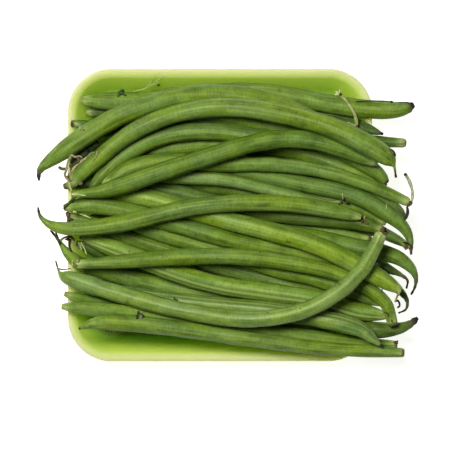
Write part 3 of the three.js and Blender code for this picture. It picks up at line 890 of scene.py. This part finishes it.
def dried_tissue(name, dark, light):
    """Dead plant tissue: dull, streaked and flecked between two browns or greens."""
    material, tree = new_material(name)
    where = add_node(tree, "ShaderNodeTexCoord")
    grain = add_node(tree, "ShaderNodeTexNoise", {
        "Vector": (where, "Object"), "Scale": 1 / GRAIN_SIZE, "Detail": 3.0})
    fleck = add_node(tree, "ShaderNodeTexNoise", {
        "Vector": (where, "Object"), "Scale": 1 / FLECK_SIZE, "Detail": 2.0})
    mixed = combine(tree, "MULTIPLY_ADD", (grain, "Fac"), 0.5, combine(
        tree, "MULTIPLY", (fleck, "Fac"), 0.5))
    tissue = blend(tree, ramp(tree, mixed, 0.38, 0.62), colour(dark), colour(light))
    relief = add_node(tree, "ShaderNodeBump", {
        "Height": (grain, "Fac"), "Strength": 0.6, "Distance": TISSUE_RELIEF})
    finish_material(tree, add_node(tree, "ShaderNodeBsdfPrincipled", {
        "Base Color": tissue,
        "Roughness": 0.75,
        "Specular IOR Level": 0.25,
        "Normal": (relief, "Normal"),
    }))
    return material


TISSUES = {
    "straw": dried_tissue("dried_straw_stalk", "6a6440", "aaa679"),
    "green": dried_tissue("green_bean_stalk", "76803f", "b3b574"),
    "stalk": dried_tissue("pale_bean_stalk", "7d8458", "bcbc98"),
    "grey": dried_tissue("wilted_grey_stalk", "525a38", "868e64"),
    "brown": dried_tissue("dried_brown_calyx", "2f2717", "695734"),
    "dark": dried_tissue("shrivelled_dark_petal", "14150d", "333622"),
    "leaf": dried_tissue("torn_dark_leaf", "18240c", "42591f"),
    "hair": dried_tissue("pale_plant_hair", "98a65c", "c8d28c"),
}

# %% Where the stalks and threads lie
# (tissue, width at the start and end in mm, height at the start and end in mm, points in mm)
STRANDS = [
    # The stalk that still hangs on the snapped end of the long bean at the right.
    ("stalk", (1.1, 1.5), (26.5, 27), [
        (84.7, 5.4), (85.8, 6.9), (85.9, 10.6), (84.5, 15.1), (82.9, 18)]),
    ("dark", (1.5, 1.4), (27, 27), [(83.1, 17.4), (82.5, 18.6)]),
    ("dark", (0.9, 1.5), (26, 29), [(83.5, 4), (83.8, 1.4), (83.2, -0.8), (82.3, -2)]),
    ("brown", (1.9, 1.6), (26, 26.5), [(83.6, 4.3), (84.9, 5.2), (85.6, 6.2)]),
    # A pale curved stalk with a three-pronged knob, across the bean at the back.
    ("green", (1.5, 1.1), (24, 25.5), [
        (61.2, 39.8), (60.4, 44.4), (58.4, 48.2), (55.9, 51.6), (53.2, 54.2)]),
    ("brown", (0.9, 1.7), (25.5, 25.7), [(54.4, 53.2), (53.2, 54.4)]),
    ("hair", (1.3, 0.9), (25.6, 26.2), [(53.4, 54.2), (51.2, 53.7)]),
    ("hair", (1.2, 0.7), (25.6, 26.6), [(53.2, 54.3), (53.6, 55.9)]),
    ("hair", (1.0, 0.7), (25.6, 26.4), [(53.2, 54.2), (51.6, 55.1)]),
    ("hair", (1.4, 0.8), (24.5, 25.5), [(60.8, 39.6), (57.8, 40.6), (56.9, 41.3)]),
    ("brown", (1.6, 0.8), (24, 25), [(61.6, 40), (59.6, 38.8), (58, 38.9)]),
    # A dead tail and a dried edge beside the bean at the back.
    ("dark", (0.5, 0.7), (21.5, 21.8), [(60.6, 50.7), (69, 51), (76.4, 50.7)]),
    ("dark", (1.3, 1.1), (21.8, 21.8), [(76.2, 50.7), (77.3, 50.4)]),
    ("dark", (0.4, 0.6), (22.6, 22.8), [(79.8, 50.2), (83.4, 50.4), (86.6, 49.4)]),
    # The tuft of dried threads by the stem ends at the left; the wide dark strips under it are
    # painted shade in the hollow.
    ("leaf", (2.4, 5), (17, 18), [(-66.6, 20.4), (-63.4, 25), (-60.2, 28.8), (-55, 33.4)]),
    ("dark", (1.6, 3.4), (17.8, 18.4), [(-67, 23), (-63.6, 27.2), (-58.6, 30.2)]),
    ("straw", (0.8, 1.1), (28, 24.5), [
        (-66.4, 27), (-68, 23.7), (-68.5, 20.6), (-69.3, 17.8), (-67.9, 15.6)]),
    ("straw", (1.7, 1.1), (26, 25), [
        (-56.9, 27.7), (-59.8, 25.4), (-63.2, 22.9), (-66, 20), (-67.2, 17.9), (-68.2, 16)]),
    ("grey", (1.3, 1.5), (27.5, 26), [(-55.8, 28.2), (-59.2, 25.8)]),
    ("straw", (0.9, 0.7), (28, 27.5), [(-66.5, 27), (-64.6, 25.9), (-62.6, 26.3), (-61.4, 25.2)]),
    ("brown", (1.0, 0.7), (27.5, 26.5), [(-64.8, 26.4), (-63, 24.6), (-64.2, 22.8)]),
    ("brown", (1.1, 1.9), (23, 23.5), [(-68.6, 20.7), (-70.7, 20.6), (-72.2, 21.5)]),
    ("brown", (1.0, 0.8), (26, 24.5), [(-67.2, 22.7), (-66.4, 19.6), (-67.6, 17), (-66.6, 15)]),
    ("straw", (1.0, 0.7), (28.5, 26.5), [(-54.7, 28.6), (-55, 26.4), (-56.6, 24.3)]),
    ("hair", (0.9, 0.5), (28.5, 27.5), [(-67.2, 14.6), (-66.9, 12.4), (-66, 10.6)]),
    ("hair", (1.0, 0.5), (31, 31.5), [(-66.2, 9.2), (-63, 8.9), (-59.6, 8.6)]),
    # The cap of the bean below them, folded back to a dark beak.
    ("leaf", (0.7, 1.9), (26, 27.3), [(-69.9, 2.7), (-68, 4.6), (-66, 6.3)]),
    ("leaf", (1.7, 0.9), (27.5, 31), [(-66.6, 5.6), (-65.2, 7.4), (-64, 7.9)]),
    ("hair", (1.4, 0.7), (22.5, 24), [(-65.4, 1.6), (-61.5, 0.2), (-57.4, -1.6)]),
    ("brown", (2.2, 1.6), (22.5, 22.5), [(-68.3, 1.5), (-67.9, -0.6), (-67.3, -2.6)]),
    # The threads that hold the thin pod at the left.
    ("dark", (0.6, 1.0), (24.5, 23.5), [(-73.7, -7.1), (-72.4, -10.2), (-71.4, -13)]),
    ("grey", (1.0, 0.7), (23.5, 24), [(-71.7, -11.9), (-69.9, -10.3), (-67.5, -9.4)]),
    ("brown", (1.5, 1.1), (24, 24), [(-68.2, -9.2), (-66.2, -10), (-64.9, -11.6)]),
    ("dark", (1.1, 0.9), (23.5, 22), [(-66.8, -10.7), (-67.3, -13.5), (-66.4, -16.4)]),
    ("hair", (0.6, 0.4), (24.5, 23), [(-62.1, -12.2), (-60.4, -15.6), (-59.5, -18)]),
    ("hair", (0.5, 0.4), (24, 22.5), [(-63.4, -12), (-62.2, -14.2), (-62, -16)]),
    # Threads at the left tip of the topmost bean, and the torn pale cap behind them.
    ("dark", (0.7, 0.5), (24.5, 28), [(-72.2, -24), (-69.6, -24.4), (-66.4, -23.8)]),
    ("hair", (0.6, 0.5), (29.5, 30.5), [(-66.4, -24.6), (-65.9, -22.2), (-65.9, -20)]),
    # Fine hairs and threads at the ends on the right.
    ("hair", (0.4, 0.3), (26, 30), [(74.8, 5.3), (74.1, 3.9), (74.4, 2.6)]),
    ("hair", (0.4, 0.3), (26.5, 26.5), [(54.5, 9.8), (54.8, 7.6), (55.5, 4.9)]),
    ("brown", (1.3, 0.7), (26, 26), [(53.6, 6.6), (55.6, 6.2), (57.4, 4.9)]),
    ("brown", (1.5, 0.9), (26.5, 26), [(82.7, -13.2), (84.7, -15.2), (85.2, -17.7)]),
    ("dark", (1.0, 0.7), (26.5, 26.5), [(81.8, -12.2), (84, -12.7), (85.4, -14.2)]),
    ("green", (1.5, 0.9), (32, 28), [(80.3, -33.3), (79.3, -35.6), (78.1, -38.8)]),
    ("grey", (0.8, 0.5), (32, 31), [(72.4, -32.6), (71.9, -34.5)]),
    ("dark", (0.9, 1.1), (28, 26), [
        (78.1, -38.7), (79.2, -38.2), (80.1, -39.4), (80.1, -40.8), (79.1, -41.4)]),
    ("brown", (1.2, 0.8), (29, 29), [(73.4, -43.4), (74.8, -44), (75.2, -45.4)]),
    # A torn scrap of leaf and long pale hairs on the tray's wall at the back.
    ("leaf", (0.9, 2.2), (19, 15), [(-46, 53), (-44.6, 54.2), (-43.6, 55.8)]),
    ("leaf", (2, 0.6), (17, 19), [(-45.4, 54.8), (-43.6, 54.2), (-41.6, 53.2)]),
    ("hair", (0.25, 0.25), (14, 17), [(-31.8, 58.6), (-30.2, 60.9), (-26.9, 64.6)]),
    ("hair", (0.3, 0.25), (12, 15), [(-39.2, 55.2), (-33.6, 56.8), (-26.9, 59.8)]),
    ("hair", (0.25, 0.25), (13, 16), [(-33.2, 58), (-29.6, 59.2), (-24.2, 63.4)]),
    ("brown", (1.2, 0.8), (42.6, 43.6), [(72.2, -8.2), (73.8, -8.3), (74.7, -7.8)]),
    ("dark", (0.9, 1.3), (38.5, 39.5), [(75.6, 29.3), (77.2, 28), (77.7, 26)]),
]

# (tissue, size in mm, place in mm, how far it stands above what it lies on in mm)
CRUMBS = [
    # The first four crumbs, in the hollow at the left, are dried debris and also part of its
    # painted shade.
    ("brown", 1.3, (-63.2, 24.2), -0.3), ("brown", 1.2, (-66.4, 22), -0.2),
    ("brown", 1.4, (-61.2, 28.2), -0.4), ("dark", 1.5, (-59.6, 30), -0.5),
    ("straw", 1.3, (-67.6, 18.2), 0.2), ("straw", 1.0, (-66.3, 15.8), 0.2),
    ("brown", 1.3, (-67.8, 17), 0.2), ("straw", 1.5, (-62.2, 14.2), 0.1),
    ("brown", 1.1, (-60.4, 13.6), 0.1), ("brown", 1.7, (-67, -1.8), 0.1),
    ("straw", 1.1, (-66.2, -10.2), 0.3), ("brown", 1.3, (-68, -10.8), 0.2),
    ("leaf", 2.3, (-35.7, -45.3), 0.1), ("dark", 1.2, (-36.9, -45.9), 0.3),
    ("grey", 1.2, (-35.2, -45.6), 0.7), ("leaf", 1.5, (-36.4, -44), 0.1),
    ("leaf", 2.2, (-44.4, 54.4), 0.1), ("dark", 0.7, (-27.6, 58.4), 0.1),
    ("leaf", 1.1, (-20.3, -37.6), 0.1), ("dark", 0.7, (-19.2, -38), 0.1),
    ("straw", 1.2, (-63.6, -20.6), 0.1), ("brown", 0.8, (-63.9, -22.6), 0.1),
    ("brown", 1.5, (63.4, -2.6), 0.2), ("straw", 0.9, (64.4, -1.4), 0.2),
    ("brown", 1.1, (65.2, -3.6), 0.1), ("brown", 1.5, (72.6, -7), 0.2),
    ("dark", 1.1, (73.8, -6), 0.1), ("brown", 1.3, (83.2, -14.6), 0.2),
    ("straw", 0.9, (84.4, -14.2), 0.2), ("brown", 0.8, (76.6, -47.4), 0.0),
    ("brown", 0.7, (77.6, -49), 0.0), ("brown", 1.5, (78.6, -57), 0.0),
    ("dark", 0.9, (79.2, -56.6), 0.1),
    ("straw", 1.2, (-62.3, 38.6), 0.1), ("brown", 1.3, (-66.2, 40.4), 0.1),
    ("brown", 0.9, (-60.8, 37.9), 0.1), ("dark", 1.2, (55.4, 6.9), 0.1),
]

# %% Make the bits
STRAND_SIDES = 10
STRAND_STEP = mm(0.6)
FEWEST_STEPS = 4
KNOT_PITCH = mm(0.9)
CLIMB = mm(6)
KNOTTINESS = 0.12
OUT_OF_ROUND = 0.12
TIP_ROUNDING = 0.55  # the last ring of a strand is this much of its width
BEDDING = 0.7  # a strand lies with its middle this share of its radius above what is below it
CRUMB_ROUGHNESS = 0.6
CRUMB_SQUASH, CRUMB_STRETCH = 0.6, 1.5
CRUMB_BEDDING = 0.25  # and a crumb with its middle this share of its size above it
bpy.context.view_layer.update()
SURFACES = bpy.context.evaluated_depsgraph_get()
RAY_START = 1.0  # a metre up, well above the heap


def top_at(x, y):
    """The height of whatever lies highest at a place."""
    hit, place, *_ = bpy.context.scene.ray_cast(SURFACES, (x, y, RAY_START), (0, 0, -1))
    return place.z if hit else 0.0


def add_strand(mesh, widths, heights, places, chance):
    """Adds a thin tube along a line of places. It is lifted onto what lies a little above its
    own height, and runs on underneath what lies far above."""
    flat = [Vector((mm(x), mm(y), 0)) for x, y in places]
    along = distances(flat)
    count = max(round(along[-1] / STRAND_STEP), FEWEST_STEPS)
    points, radii = [], []
    lobes = chance.uniform(0, math.tau)
    for step in range(count + 1):
        share = step / count
        point = smooth_value(along, flat, share * along[-1])
        radius = mm(widths[0] + (widths[1] - widths[0]) * share) / 2
        hanging = mm(heights[0] + (heights[1] - heights[0]) * share)
        resting = top_at(point.x, point.y) + radius * BEDDING
        point.z = resting if hanging < resting < hanging + CLIMB else hanging
        points.append(point)
        radii.append(radius * (1 + KNOTTINESS * math.sin(along[-1] * share / KNOT_PITCH + lobes)))
    for _ in range(3):  # a stiff thread bridges hollows rather than follow every bump
        levels = [point.z for point in points]
        for i in range(1, count):
            points[i].z = max(points[i].z, (levels[i - 1] + levels[i + 1]) / 2)

    def section(index, angle):
        rounding = TIP_ROUNDING if index in (0, count) else 1.0
        return rounding * radii[index] * (1 + OUT_OF_ROUND * math.sin(2 * angle + lobes))

    sweep(mesh, stations_along(points), STRAND_SIDES, section)


def add_crumb(mesh, size, place, lift, chance):
    """Adds a rough ball of dead leaf on what lies at a place."""
    x, y = mm(place[0]), mm(place[1])
    ball = bmesh.ops.create_icosphere(mesh, subdivisions=3, radius=mm(size) / 2)["verts"]
    middle = Vector((x, y, top_at(x, y) + mm(size) * CRUMB_BEDDING + mm(lift)))
    squash = Vector([chance.uniform(CRUMB_SQUASH, CRUMB_STRETCH) for _ in range(3)])
    for vert in ball:
        ripple = noise.noise(vert.co / mm(size) * 3 + Vector((*place, 0)))
        vert.co = middle + vert.co * squash * (1 + 2 * CRUMB_ROUGHNESS * ripple)


chance = random.Random(5)
bits = {tissue: bmesh.new() for tissue in TISSUES}
for tissue, widths, heights, places in STRANDS:
    add_strand(bits[tissue], widths, heights, places, chance)
for tissue, size, place, lift in CRUMBS:
    add_crumb(bits[tissue], size, place, lift, chance)
for tissue, mesh in bits.items():
    piece = new_piece(mesh, "bits_" + tissue, TISSUES[tissue])
    print(piece.name, len(piece.data.polygons), "faces")
